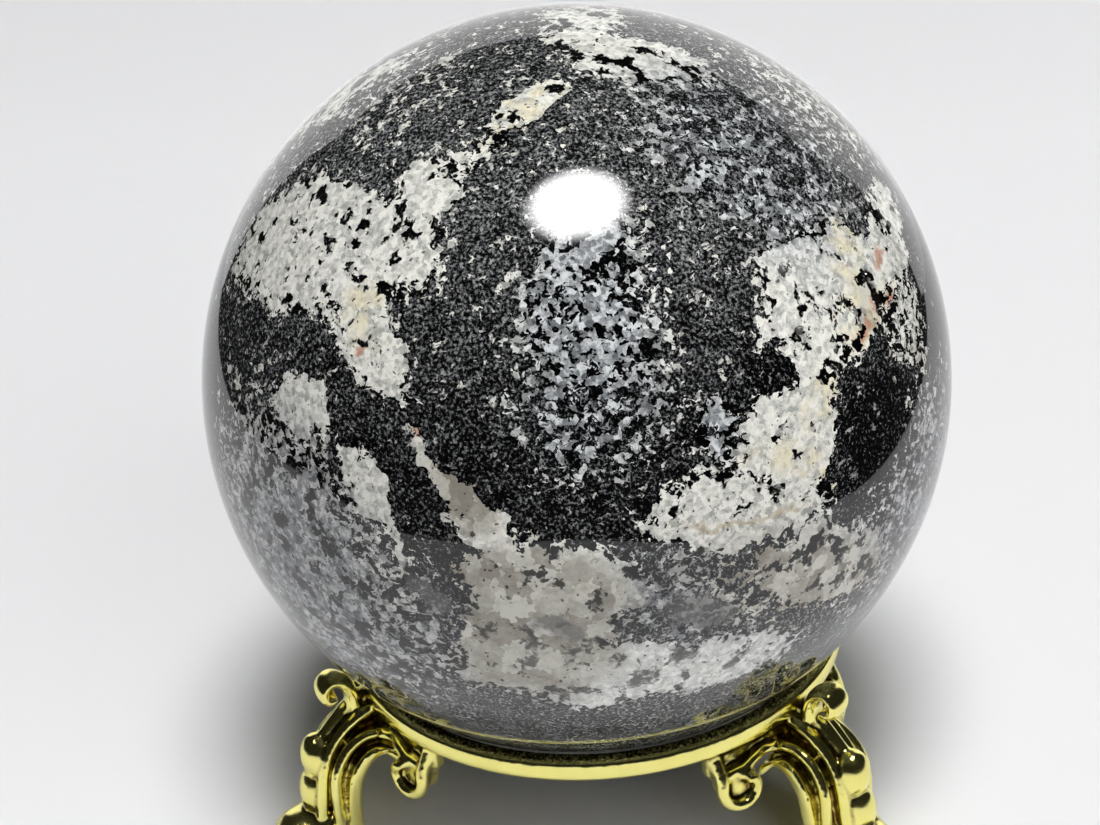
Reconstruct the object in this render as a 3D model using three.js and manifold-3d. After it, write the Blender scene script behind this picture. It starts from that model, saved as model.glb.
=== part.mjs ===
// Decorative sphere: a polished stone ball that rests on a cast stand, a ring on three scrolled legs.
// Millimetres, +Z up. The origin is on the floor, on the axis of the ring.
import * as THREE from "three";
import { mergeVertices } from "three/addons/utils/BufferGeometryUtils.js";
import Module from "manifold-3d";

// The ball
const ballRadius = 40;
const ballCentreHeight = 48.5;
const ballSides = 40;
const ballRows = 20;

// The ring that carries it: an outer band that leans in, a bevelled lip and a seat that clears the ball
const ringTopRadius = 27.9;
const ringFootRadius = 26.7;
const ringBoreRadius = 24.9;
const ringTopHeight = 18.0;
const ringFootHeight = 15.0;
const lipBevel = 0.3;
const seatClearance = 0.3;
const seatDepth = 1.3;
const ringSides = 48;

// The legs
const legCount = 3;
const firstLegTurn = -Math.PI / 6;
const legSteps = 11;
const ridgeHalfWidth = 0.42;
const legBackThickness = 1.5;

// Ridges of a leg's right half, from the ring down into the foot.
// Each point is [out from the axis, sideways from the leg's middle, height].
const crestLine = [
  [27.4, 0, 17.8],
  [30.2, 0, 16.4],
  [32.3, 0, 14.2],
  [34.2, 0, 11.7],
  [35.0, 0, 6.8],
  [35.7, 0, 1.4],
];
const leafLine = [
  [27.0, 1.4, 16.4],
  [30.5, 1.6, 14.5],
  [32.9, 1.7, 12.0],
  [34.3, 2.0, 9.3],
  [34.9, 2.2, 6.2],
  [35.8, 2.4, 1.4],
];
const scrollLine = [
  [26.4, 3.6, 13.1],
  [29.4, 3.3, 13.3],
  [31.7, 3.4, 12.1],
  [33.4, 3.8, 9.6],
  [33.8, 4.0, 6.6],
  [33.8, 3.8, 1.4],
];
const rimLine = [
  [26.0, 5.8, 10.9],
  [27.8, 5.0, 12.1],
  [30.0, 5.1, 11.7],
  [31.7, 5.3, 9.5],
  [32.3, 5.2, 6.8],
  [32.6, 4.7, 1.4],
];
const grooveDepths = { besideCrest: 1.3, besideLeaf: 1.2, besideScroll: 0.9 };

// The volutes that hang below the ring on both sides of a leg.
// A turn is an angle round the ring from the leg's middle, and a sweep is one round the volute's eye.
const voluteTurn = 0.336;
const voluteOut = 28.5;
const voluteHeight = 10.8;
const voluteRadius = 2.3;
const voluteEyeShare = 0.55;
const voluteStartSweep = 0.12 * Math.PI;
const voluteSweep = 1.5 * Math.PI;
const voluteLean = 0.9;
const voluteRimRadii = [0.77, 0.56];
const voluteFaceDepth = 2.4;
const voluteFaceInset = 1.8;
const voluteTurns = 8;
const barSides = 6;

// The rib that feeds each volute, as [out, along the ring from the volute's eye, height]
const feedRadius = 0.6;
const feedStart = [28.0, 4.4, 13.9];
const feedLine = [
  [27.1, -4.2, 13.3],
  [27.3, -2.2, 13.1],
  [27.6, 0.2, 12.1],
];

// The apron behind the volutes, as [turn from the leg's middle, lower edge, outer radius]
const apronLine = [
  [-0.03, 12.4, 27.4],
  [0.14, 12.4, 26.9],
  [0.21, 11.8, 26.5],
  [0.28, 10.4, 26.5],
  [0.37, 10.2, 26.5],
  [0.46, 12.4, 26.5],
];
const apronInnerRadius = 25.1;
const apronRise = 0.4;

// The leaf tip that curls outward above the ring
const curlLine = [
  [27.0, 0, 16.8],
  [28.8, 0, 18.5],
  [30.4, 0, 19.6],
  [31.8, 0, 19.6],
  [32.6, 0, 18.5],
  [32.1, 0, 17.4],
  [31.2, 0, 17.6],
];
const curlHalfWidths = [2.1, 1.7];
const curlHalfThicknesses = [0.8, 0.6];

// Overlapping lobes down the leg's outer face, as [out, height, half depth, half height]
const lobes = [
  [34.6, 10.4, 1.8, 2.1],
  [35.1, 6.6, 1.9, 2.5],
];
const lobeHalfWidth = 2.0;

// The foot, as [out, half width, top height], with an upright edge and a slightly narrower sole
const footLine = [
  [30.9, 2.6, 1.2],
  [32.2, 4.4, 3.2],
  [34.5, 4.3, 4.2],
  [36.6, 3.6, 3.3],
  [38.7, 2.9, 2.8],
  [40.0, 1.8, 1.7],
];
const footEdge = 0.7;
const footSoleShare = 0.86;
const footArcSteps = 6;

const wasm = await Module();
wasm.setup();

const stone = new THREE.MeshStandardMaterial({ color: 0x5a5c5e, roughness: 0.08, metalness: 0 });
const gold = new THREE.MeshStandardMaterial({ color: 0xe6cf5c, roughness: 0.16, metalness: 1 });

const between = ([start, end], share) => start + (end - start) * share;

// The closed solid of a geometry, turned the right way out
function solidOf(geometry) {
  const bare = geometry.clone();
  bare.deleteAttribute("normal");
  bare.deleteAttribute("uv");
  const merged = mergeVertices(bare, 1e-4);
  const corners = Array.from(merged.index.array);
  const kept = [];
  for (let i = 0; i < corners.length; i += 3) {
    const [a, b, c] = corners.slice(i, i + 3);
    if (a !== b && b !== c && c !== a) kept.push(a, b, c);
  }
  const vertProperties = merged.attributes.position.array;
  const made = new wasm.Manifold(
    new wasm.Mesh({ numProp: 3, vertProperties, triVerts: new Uint32Array(kept) }),
  );
  if (made.volume() > 0) return made;
  return new wasm.Manifold(
    new wasm.Mesh({ numProp: 3, vertProperties, triVerts: new Uint32Array(kept.reverse()) }),
  );
}

function geometryOf(solid) {
  const mesh = solid.getMesh();
  const positions = new Float32Array(mesh.numVert * 3);
  for (let i = 0; i < mesh.numVert; i += 1) {
    const start = i * mesh.numProp;
    positions.set(mesh.vertProperties.subarray(start, start + 3), i * 3);
  }
  const geometry = new THREE.BufferGeometry();
  geometry.setAttribute("position", new THREE.BufferAttribute(positions, 3));
  geometry.setIndex(new THREE.BufferAttribute(mesh.triVerts, 1));
  geometry.computeVertexNormals();
  return geometry;
}

const joined = (solids) => solids.reduce((whole, next) => whole.add(next));

// A smooth curve through a leg's line, on the leg's right side or mirrored to its left
const curveThrough = (line, side = 1) =>
  new THREE.CatmullRomCurve3(line.map(([out, aside, height]) => new THREE.Vector3(out, side * aside, height)));

// A closed body through a row of rings of points, all in the same order, with flat ends
function loft(rings) {
  const count = rings[0].length;
  const middleOf = (ring) => ring.reduce((sum, p) => sum.add(p), new THREE.Vector3()).divideScalar(count);
  const points = [...rings.flat(), middleOf(rings[0]), middleOf(rings[rings.length - 1])];
  const startMiddle = points.length - 2;
  const endMiddle = points.length - 1;
  const lastRing = (rings.length - 1) * count;
  const index = [];
  for (let j = 0; j < count; j += 1) {
    const next = (j + 1) % count;
    for (let row = 0; row < lastRing; row += count) {
      index.push(row + j, row + next, row + count + j);
      index.push(row + next, row + count + next, row + count + j);
    }
    index.push(startMiddle, next, j);
    index.push(endMiddle, lastRing + j, lastRing + next);
  }
  return new THREE.BufferGeometry().setFromPoints(points).setIndex(index);
}

// A bar along a curve with an oval section, as wide and thick at each step as sizeAt says
function bar(curve, steps, sides, sizeAt) {
  const frames = curve.computeFrenetFrames(steps);
  const rings = [];
  for (let i = 0; i <= steps; i += 1) {
    const [halfWidth, halfThickness] = sizeAt(i / steps);
    const centre = curve.getPointAt(i / steps);
    const ring = [];
    for (let j = 0; j < sides; j += 1) {
      const angle = (2 * Math.PI * j) / sides;
      const across = frames.binormals[i].clone().multiplyScalar(halfWidth * Math.cos(angle));
      const through = frames.normals[i].clone().multiplyScalar(halfThickness * Math.sin(angle));
      ring.push(centre.clone().add(across).add(through));
    }
    rings.push(ring);
  }
  return loft(rings);
}

function ballGeometry() {
  const geometry = new THREE.SphereGeometry(ballRadius, ballSides, ballRows);
  return geometry.rotateX(Math.PI / 2);
}

function ringGeometry() {
  const reach = ballRadius + seatClearance;
  const seatTopRadius = Math.sqrt(reach ** 2 - (ballCentreHeight - ringTopHeight) ** 2);
  const section = [
    [ringBoreRadius, ringFootHeight],
    [ringFootRadius, ringFootHeight],
    [ringTopRadius, ringTopHeight - lipBevel],
    [ringTopRadius - lipBevel, ringTopHeight],
    [seatTopRadius, ringTopHeight],
    [ringBoreRadius, ringTopHeight - seatDepth],
    [ringBoreRadius, ringFootHeight],
  ];
  const profile = section.map(([radius, height]) => new THREE.Vector2(radius, height));
  return new THREE.LatheGeometry(profile, ringSides).rotateX(Math.PI / 2);
}

// One cross-section of a leg: a ridge, a groove, a ridge and so on from side to side, then the back
function legRing(curves, t) {
  const ridges = curves.map((curve) => curve.getPoint(t));
  const last = ridges.length - 1;
  const along = curves[last / 2].getTangent(Math.min(Math.max(t, 0.02), 0.98));
  const { besideCrest, besideLeaf, besideScroll } = grooveDepths;
  const grooves = [besideScroll, besideLeaf, besideCrest, besideCrest, besideLeaf, besideScroll];
  const ring = [];
  ridges.forEach((ridge, i) => {
    const across = ridges[Math.min(i + 1, last)].clone().sub(ridges[Math.max(i - 1, 0)]).normalize();
    ring.push(ridge.clone().addScaledVector(across, -ridgeHalfWidth));
    ring.push(ridge.clone().addScaledVector(across, ridgeHalfWidth));
    if (i === last) return;
    const chord = ridges[i + 1].clone().sub(ridge);
    const outward = chord.clone().cross(along).normalize();
    ring.push(ridge.clone().addScaledVector(chord, 0.5).addScaledVector(outward, -grooves[i]));
  });
  const inward = ridges[last].clone().sub(ridges[0]).cross(along).normalize().negate();
  ring.push(ridges[last].clone().addScaledVector(inward, legBackThickness));
  ring.push(ridges[0].clone().addScaledVector(inward, legBackThickness));
  return ring;
}

function legBody() {
  const curves = [
    curveThrough(rimLine),
    curveThrough(scrollLine),
    curveThrough(leafLine),
    curveThrough(crestLine),
    curveThrough(leafLine, -1),
    curveThrough(scrollLine, -1),
    curveThrough(rimLine, -1),
  ];
  const rings = [];
  for (let i = 0; i <= legSteps; i += 1) rings.push(legRing(curves, i / legSteps));
  return loft(rings);
}

// A point at a turn round the ring from the leg's middle, to the leg's right or left
const turned = (side, radius, turn, height) =>
  new THREE.Vector3(radius * Math.cos(turn), side * radius * Math.sin(turn), height);

// A point beside a volute's eye: so far from the axis, along the ring from the eye, and so high
const besideEye = (side, radius, along, height) => turned(side, radius, voluteTurn + along / radius, height);

// The rim of a volute leaves the ring's underside, turns down and curls back to its eye
function voluteRim(side) {
  const points = [besideEye(side, ringFootRadius - voluteRimRadii[0], voluteRadius, ringFootHeight + apronRise)];
  for (let i = 0; i <= voluteTurns; i += 1) {
    const share = i / voluteTurns;
    const sweep = voluteStartSweep - voluteSweep * share;
    const radius = voluteRadius * between([1, voluteEyeShare], share ** 2);
    const out = voluteOut - voluteLean * (1 - share) ** 2;
    points.push(besideEye(side, out, radius * Math.cos(sweep), voluteHeight + radius * Math.sin(sweep)));
  }
  const radiusAt = (t) => between(voluteRimRadii, t);
  return bar(new THREE.CatmullRomCurve3(points), 12, barSides, (t) => [radiusAt(t), radiusAt(t)]);
}

function voluteFeed(side) {
  const [out, aside, height] = feedStart;
  const points = [new THREE.Vector3(out, side * aside, height)];
  for (const [radius, along, rise] of feedLine) points.push(besideEye(side, radius, along, rise));
  return bar(new THREE.CatmullRomCurve3(points), 5, barSides, () => [feedRadius, feedRadius]);
}

// The sunken face inside a volute
function voluteFace(side) {
  const face = new THREE.CylinderGeometry(voluteRadius, voluteRadius, voluteFaceDepth, 10);
  face.rotateZ(-Math.PI / 2).translate(voluteOut - voluteFaceInset, 0, voluteHeight);
  return face.rotateZ(side * voluteTurn);
}

function apron(side) {
  const top = ringFootHeight + apronRise;
  const rings = apronLine.map(([turn, low, outerRadius]) => [
    turned(side, apronInnerRadius, turn, low),
    turned(side, outerRadius, turn, low),
    turned(side, outerRadius, turn, top),
    turned(side, apronInnerRadius, turn, top),
  ]);
  return loft(rings);
}

function topCurl() {
  const sizeAt = (t) => [between(curlHalfThicknesses, t), between(curlHalfWidths, t)];
  return bar(curveThrough(curlLine), 12, 8, sizeAt);
}

function lobe([out, height, halfDepth, halfHeight]) {
  const pad = new THREE.SphereGeometry(1, 10, 6);
  return pad.scale(halfDepth, lobeHalfWidth, halfHeight).translate(out, 0, height);
}

// The foot stands flat on the floor and its toe turns outward
function foot() {
  const rings = footLine.map(([out, halfWidth, top]) => {
    const ring = [];
    for (let j = 0; j <= footArcSteps; j += 1) {
      const angle = (Math.PI * j) / footArcSteps;
      const height = footEdge + (top - footEdge) * Math.sin(angle);
      ring.push(new THREE.Vector3(out, halfWidth * Math.cos(angle), height));
    }
    ring.push(new THREE.Vector3(out, -halfWidth * footSoleShare, 0));
    ring.push(new THREE.Vector3(out, halfWidth * footSoleShare, 0));
    return ring;
  });
  return loft(rings);
}

function legSolid() {
  const paired = [voluteRim, voluteFeed, voluteFace, apron];
  return joined([
    solidOf(legBody()),
    ...paired.flatMap((make) => [solidOf(make(1)), solidOf(make(-1))]),
    solidOf(topCurl()),
    ...lobes.map((size) => solidOf(lobe(size))),
    solidOf(foot()),
  ]);
}

// The legs are evenly spaced, and the gap between two of them faces the front
function standGeometry() {
  const leg = geometryOf(legSolid());
  const legs = [];
  for (let i = 0; i < legCount; i += 1) {
    legs.push(solidOf(leg.clone().rotateZ(firstLegTurn + (2 * Math.PI * i) / legCount)));
  }
  return geometryOf(joined([solidOf(ringGeometry()), ...legs]));
}

const ball = new THREE.Mesh(ballGeometry(), stone);
ball.name = "stone_sphere";
ball.position.z = ballCentreHeight;

const stand = new THREE.Mesh(standGeometry(), gold);
stand.name = "stand";

const ornament = new THREE.Group();
ornament.add(ball, stand);
export default ornament;
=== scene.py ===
"""The looks of a polished stone ball on a gold-plated cast stand. Metres, +Z up, the front faces -Y."""
import math

import bmesh
import bpy
from mathutils import Matrix, Vector, noise


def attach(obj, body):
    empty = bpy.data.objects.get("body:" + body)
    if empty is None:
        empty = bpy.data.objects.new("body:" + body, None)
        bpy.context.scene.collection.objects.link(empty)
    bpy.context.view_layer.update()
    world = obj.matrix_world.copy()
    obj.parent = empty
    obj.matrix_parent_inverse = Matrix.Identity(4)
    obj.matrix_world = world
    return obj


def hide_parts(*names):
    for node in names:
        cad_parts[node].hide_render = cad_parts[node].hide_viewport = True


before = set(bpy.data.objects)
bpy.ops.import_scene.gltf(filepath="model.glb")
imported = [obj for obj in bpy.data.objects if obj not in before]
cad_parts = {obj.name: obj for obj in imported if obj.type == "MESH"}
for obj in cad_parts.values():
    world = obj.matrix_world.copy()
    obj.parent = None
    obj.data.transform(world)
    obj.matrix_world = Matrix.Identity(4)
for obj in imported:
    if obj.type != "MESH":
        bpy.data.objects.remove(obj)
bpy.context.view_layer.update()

# Lengths are in millimetres, as on a drawing, and MM turns them into metres.
MM = 0.001

# The ball
BALL_RADIUS = 40.0
BALL_CENTRE = Vector((0.0, 0.0, 48.5))
BALL_DETAIL = 7

# The ring that carries the ball
RING_TOP_RADIUS = 27.9
RING_FOOT_RADIUS = 26.7
RING_BORE_RADIUS = 24.9
RING_TOP = 18.0
RING_FOOT = 15.0
RING_FACE_FOOT = 15.8
RING_FACE_BULGE = 0.08
RING_LIP = 0.18
RING_SIDES = 240
SEAT_CLEARANCE = 0.08
SEAT_DEPTH = 1.3

# The legs
LEG_COUNT = 3
FIRST_LEG_TURN = -math.pi / 6
LEG_STEPS = 70
GROOVE_STEPS = 14
LEG_BACK = 1.5
# A leg's direction is taken no nearer than this to its ends, as a share of its length
LEG_END = 0.02

# Ridges of a leg's right half, from the ring down into the foot.
# Each point is (out from the axis, sideways from the leg's middle, height).
CREST_LINE = [
    (27.2, 0, 16.7),
    (30.0, 0, 16.1),
    (32.2, 0, 14.2),
    (34.2, 0, 11.7),
    (35.0, 0, 6.8),
    (35.7, 0, 1.4),
]
LEAF_LINE = [
    (26.9, 1.5, 15.9),
    (30.4, 1.7, 14.5),
    (32.9, 1.7, 12.0),
    (34.3, 2.0, 9.3),
    (34.9, 2.2, 6.2),
    (35.8, 2.4, 1.4),
]
SCROLL_LINE = [
    (26.4, 3.6, 13.1),
    (29.4, 3.3, 13.3),
    (31.7, 3.4, 12.1),
    (33.4, 3.8, 9.6),
    (33.8, 4.0, 6.6),
    (33.8, 3.8, 1.4),
]
RIM_LINE = [
    (26.0, 5.8, 10.9),
    (27.8, 5.0, 12.1),
    (30.0, 5.1, 11.7),
    (31.7, 5.3, 9.5),
    (32.3, 5.2, 6.8),
    (32.6, 4.7, 1.4),
]
# A groove's depth as a share of the way between its two ridges
GROOVES = {"crest": 0.50, "leaf": 0.72, "scroll": 0.58}
GROOVE_ROUNDNESS = 1.9
# Rounded ribs along the ridges, as (radius, how far the middle lies inside the ridge)
RIBS = {"crest": (0.85, 0.60), "leaf": (0.66, 0.34), "scroll": (0.62, 0.32)}
RIB_SIDES = 14
# The way into the leg, as (towards the axis, down)
RIB_INWARD = (0.85, 0.6)

# The volutes that hang below the ring on both sides of a leg, turned from its middle by an angle in radians
VOLUTE_TURN = 0.336
VOLUTE_OUT = 28.5
VOLUTE_HEIGHT = 10.8
VOLUTE_RADIUS = 2.3
VOLUTE_EYE_SHARE = 0.55
VOLUTE_START_SWEEP = 0.12 * math.pi
VOLUTE_SWEEP = 1.5 * math.pi
VOLUTE_LEAN = 0.9
VOLUTE_RIM_RADII = (0.77, 0.56)
VOLUTE_FACE_DEPTH = 2.4
VOLUTE_FACE_INSET = 1.9
VOLUTE_POINTS = 11
VOLUTE_STEPS = 60
VOLUTE_SIDES = 16
VOLUTE_FACE_SIDES = 32

# The rib that feeds a volute: it starts on the leg and then goes by the volute's eye.
# A point beside the eye is (radius, way along the ring, height).
FEED_START = (28.0, 4.4, 13.9)
FEED_LINE = [(27.1, -4.2, 13.3), (27.3, -2.2, 13.1), (27.6, 0.2, 12.1)]
FEED_RADIUS = 0.6
FEED_STEPS = 30
FEED_SIDES = 14

# The apron behind the volutes, as (turn from the leg's middle, lower edge, outer radius)
APRON_LINE = [
    (-0.03, 12.4, 27.4),
    (0.14, 12.4, 26.9),
    (0.21, 11.8, 26.5),
    (0.28, 10.4, 26.5),
    (0.37, 10.2, 26.5),
    (0.46, 12.4, 26.5),
]
APRON_INNER_RADIUS = 25.1
APRON_RISE = 0.4
APRON_STEPS = 24
# The apron's turns are multiplied by this on their curve, so that they weigh about as much as its lengths
APRON_TURN_SCALE = 10

# The leaf tip that curls outward above the ring
CURL_LINE = [
    (29.5, 0, 15.4),
    (29.5, 0, 17.2),
    (30.3, 0, 18.9),
    (31.7, 0, 19.5),
    (32.7, 0, 18.5),
    (32.3, 0, 17.3),
    (31.3, 0, 17.5),
]
CURL_HALF_WIDTHS = (1.5, 1.9)
CURL_HALF_THICKNESSES = (0.8, 0.7)
CURL_STEPS = 50
CURL_SIDES = 24

# Overlapping lobes down the leg's outer face, as (out, height, half depth, half height)
LOBES = [(34.3, 10.0, 1.9, 2.9), (34.9, 5.4, 2.0, 3.3)]
LOBE_HALF_WIDTH = 2.1
LOBE_STEPS = 16
LOBE_SIDES = 24

# The foot, as (out, half width, top height)
FOOT_LINE = [
    (30.9, 2.6, 1.2),
    (32.2, 4.4, 3.2),
    (34.5, 4.3, 4.2),
    (36.6, 3.6, 3.3),
    (38.7, 2.9, 2.8),
    (40.0, 1.8, 1.7),
]
FOOT_EDGE = 0.7
FOOT_SOLE_SHARE = 0.86
FOOT_STEPS = 24
FOOT_ARC_STEPS = 16

# The stand becomes one casting, a mesh with cells of this size that is smoothed a few times
CASTING_VOXEL = 0.27
CASTING_SMOOTHING = 5
CASTING_SMOOTHING_SHARE = 0.5

# The camera looks at the ball from a little to the right of the front and from above.
CAMERA_DISTANCE = 238.0
CAMERA_AZIMUTH = math.radians(10.8)
CAMERA_ELEVATION = math.radians(26.7)
CAMERA_YAW = math.radians(11.64)
CAMERA_PITCH = math.radians(-27.50)
CAMERA_ROLL = math.radians(-5.21)
CAMERA_LENS = 72.0
CAMERA_SENSOR = 36.0
CAMERA_NEAREST = 10.0


def make_camera():
    data = bpy.data.cameras.new("camera")
    data.lens = CAMERA_LENS
    data.sensor_width = CAMERA_SENSOR
    data.sensor_fit = "HORIZONTAL"
    data.clip_start = CAMERA_NEAREST * MM
    camera = bpy.data.objects.new("camera", data)
    bpy.context.scene.collection.objects.link(camera)
    back = Vector((
        math.sin(CAMERA_AZIMUTH) * math.cos(CAMERA_ELEVATION),
        -math.cos(CAMERA_AZIMUTH) * math.cos(CAMERA_ELEVATION),
        math.sin(CAMERA_ELEVATION),
    ))
    turn = (
        Matrix.Rotation(CAMERA_YAW, 4, "Z")
        @ Matrix.Rotation(math.pi / 2 + CAMERA_PITCH, 4, "X")
        @ Matrix.Rotation(CAMERA_ROLL, 4, "Z")
    )
    camera.matrix_world = Matrix.Translation((BALL_CENTRE + back * CAMERA_DISTANCE) * MM) @ turn
    bpy.context.scene.camera = camera


make_camera()


# Node helpers

def feed(tree, socket, value):
    """Sets a socket's value, or links it where the value is another node's socket."""
    if isinstance(value, bpy.types.NodeSocket):
        tree.links.new(value, socket)
    else:
        socket.default_value = value


def maths(tree, operation, *values):
    made = tree.nodes.new("ShaderNodeMath")
    made.operation = operation
    for socket, value in zip(made.inputs, values):
        feed(tree, socket, value)
    return made.outputs[0]


def plus(tree, first, second):
    return maths(tree, "ADD", first, second)


def minus(tree, first, second):
    return maths(tree, "SUBTRACT", first, second)


def times(tree, first, second):
    return maths(tree, "MULTIPLY", first, second)


def larger(tree, first, second):
    return maths(tree, "MAXIMUM", first, second)


def weighted(tree, first, weight, second):
    """The first value's weight and the rest of the second."""
    return plus(tree, times(tree, first, weight), times(tree, second, 1 - weight))


def vector(tree, operation, *values):
    made = tree.nodes.new("ShaderNodeVectorMath")
    made.operation = operation
    for socket, value in zip(made.inputs, values):
        feed(tree, socket, value)
    return made.outputs["Value" if operation == "LENGTH" else "Vector"]


def stretched(tree, place, factors):
    """A place with each axis multiplied."""
    return vector(tree, "MULTIPLY", place, factors)


def moved(tree, place, offset, reach):
    """A place moved along an offset that is multiplied by the reach."""
    return vector(tree, "ADD", place, stretched(tree, offset, (reach, reach, reach)))


# A Mix node has sockets of its own for each kind of value, given here as (kind, first, second, result).
NUMBER_MIX = ("FLOAT", 2, 3, 0)
COLOUR_MIX = ("RGBA", 6, 7, 2)


def mixed_by(tree, sockets, share, first, second):
    kind, first_socket, second_socket, result = sockets
    made = tree.nodes.new("ShaderNodeMix")
    made.data_type = kind
    feed(tree, made.inputs[0], share)
    feed(tree, made.inputs[first_socket], first)
    feed(tree, made.inputs[second_socket], second)
    return made.outputs[result]


def mixed_value(tree, share, first, second):
    return mixed_by(tree, NUMBER_MIX, share, first, second)


def mixed(tree, share, first, second):
    return mixed_by(tree, COLOUR_MIX, share, first, second)


def opaque(colour):
    return (*colour, 1.0)


def eased(tree, value, low, high, start=0.0, end=1.0):
    """The value's smooth change from start at low to end at high."""
    made = tree.nodes.new("ShaderNodeMapRange")
    made.interpolation_type = "SMOOTHSTEP"
    given = {"Value": value, "From Min": low, "From Max": high, "To Min": start, "To Max": end}
    for name, number in given.items():
        feed(tree, made.inputs[name], number)
    return made.outputs["Result"]


# Noise lies evenly about this value
NOISE_MIDDLE = 0.5


def clouds(tree, place, size, detail=2.0, roughness=0.5, colour=False):
    """Soft noise whose features are about as large as size."""
    made = tree.nodes.new("ShaderNodeTexNoise")
    feed(tree, made.inputs["Vector"], place)
    made.inputs["Scale"].default_value = 1.0 / size
    made.inputs["Detail"].default_value = detail
    made.inputs["Roughness"].default_value = roughness
    return made.outputs["Color" if colour else "Fac"]


def offsets(tree, place, noise_settings):
    """Soft noise around zero along each axis."""
    return vector(tree, "SUBTRACT", clouds(tree, place, *noise_settings, colour=True), (NOISE_MIDDLE,) * 3)


def grains(tree, place, size):
    """Cells of about that size, as their random colour and the distance from their centres."""
    made = tree.nodes.new("ShaderNodeTexVoronoi")
    feed(tree, made.inputs["Vector"], place)
    made.inputs["Scale"].default_value = 1.0 / size
    return made.outputs["Color"], made.outputs["Distance"]


def one_channel(tree, colour, name):
    made = tree.nodes.new("ShaderNodeSeparateColor")
    feed(tree, made.inputs["Color"], colour)
    return made.outputs[name]


def height_of(tree, place):
    made = tree.nodes.new("ShaderNodeSeparateXYZ")
    feed(tree, made.inputs["Vector"], place)
    return made.outputs["Z"]


def ramp(tree, value, stops):
    """A colour for each value, from (place, (red, green, blue)) stops."""
    made = tree.nodes.new("ShaderNodeValToRGB")
    feed(tree, made.inputs["Fac"], value)
    band = made.color_ramp
    while len(band.elements) < len(stops):
        band.elements.new(0.5)
    for element, (place, colour) in zip(band.elements, stops):
        element.position = place
        element.color = opaque(colour)
    return made.outputs["Color"]


def group_tree(name, inputs, outputs):
    """An empty shader group with named sockets, its input node and its output node."""
    tree = bpy.data.node_groups.new(name, "ShaderNodeTree")
    for socket, kind in inputs:
        tree.interface.new_socket(socket, in_out="INPUT", socket_type=kind)
    for socket, kind in outputs:
        tree.interface.new_socket(socket, in_out="OUTPUT", socket_type=kind)
    return tree, tree.nodes.new("NodeGroupInput"), tree.nodes.new("NodeGroupOutput")


def placed_group(tree, group, output, **values):
    """Places a group with values for its inputs, and gives the named output."""
    made = tree.nodes.new("ShaderNodeGroup")
    made.node_tree = group
    for name, value in values.items():
        feed(tree, made.inputs[name], value)
    return made.outputs[output]


def patch_group():
    """A patch of another mineral: 1 inside an oval on the surface, 0 outside it."""
    tree, given, put = group_tree(
        "mineral_patch",
        [
            ("Place", "NodeSocketVector"),
            ("Centre", "NodeSocketVector"),
            ("Turn", "NodeSocketVector"),
            ("Size", "NodeSocketVector"),
            ("Softness", "NodeSocketFloat"),
        ],
        [("Mask", "NodeSocketFloat")],
    )
    local = tree.nodes.new("ShaderNodeMapping")
    local.vector_type = "TEXTURE"
    sockets = {"Place": "Vector", "Centre": "Location", "Turn": "Rotation", "Size": "Scale"}
    for name, socket in sockets.items():
        tree.links.new(given.outputs[name], local.inputs[socket])
    away = vector(tree, "LENGTH", local.outputs["Vector"])
    inner = minus(tree, 1.0, given.outputs["Softness"])
    outer = plus(tree, 1.0, given.outputs["Softness"])
    tree.links.new(eased(tree, away, inner, outer, 1.0, 0.0), put.inputs["Mask"])
    return tree


RIPPLE_HEIGHT = 0.2
RIPPLE_DETAIL = 2.0


def ripple_group():
    """The slight waviness of a polished or plated surface, as a normal."""
    tree, given, put = group_tree(
        "polish_ripple",
        [("Place", "NodeSocketVector"), ("Size", "NodeSocketFloat"), ("Strength", "NodeSocketFloat")],
        [("Normal", "NodeSocketVector")],
    )
    waves = tree.nodes.new("ShaderNodeTexNoise")
    waves.inputs["Detail"].default_value = RIPPLE_DETAIL
    tree.links.new(given.outputs["Place"], waves.inputs["Vector"])
    tree.links.new(maths(tree, "DIVIDE", 1.0, given.outputs["Size"]), waves.inputs["Scale"])
    bump = tree.nodes.new("ShaderNodeBump")
    bump.inputs["Distance"].default_value = RIPPLE_HEIGHT * MM
    tree.links.new(given.outputs["Strength"], bump.inputs["Strength"])
    tree.links.new(waves.outputs["Fac"], bump.inputs["Height"])
    tree.links.new(bump.outputs["Normal"], put.inputs["Normal"])
    return tree


def new_material(name):
    material = bpy.data.materials.new(name)
    material.use_nodes = True
    tree = material.node_tree
    return material, tree, tree.nodes["Principled BSDF"]


def place_in_mm(tree, origin=Vector((0, 0, 0))):
    """The surface point in millimetres from an origin."""
    coordinates = tree.nodes.new("ShaderNodeTexCoord")
    return vector(tree, "SUBTRACT", stretched(tree, coordinates.outputs["Object"], (1 / MM,) * 3), origin)


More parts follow.
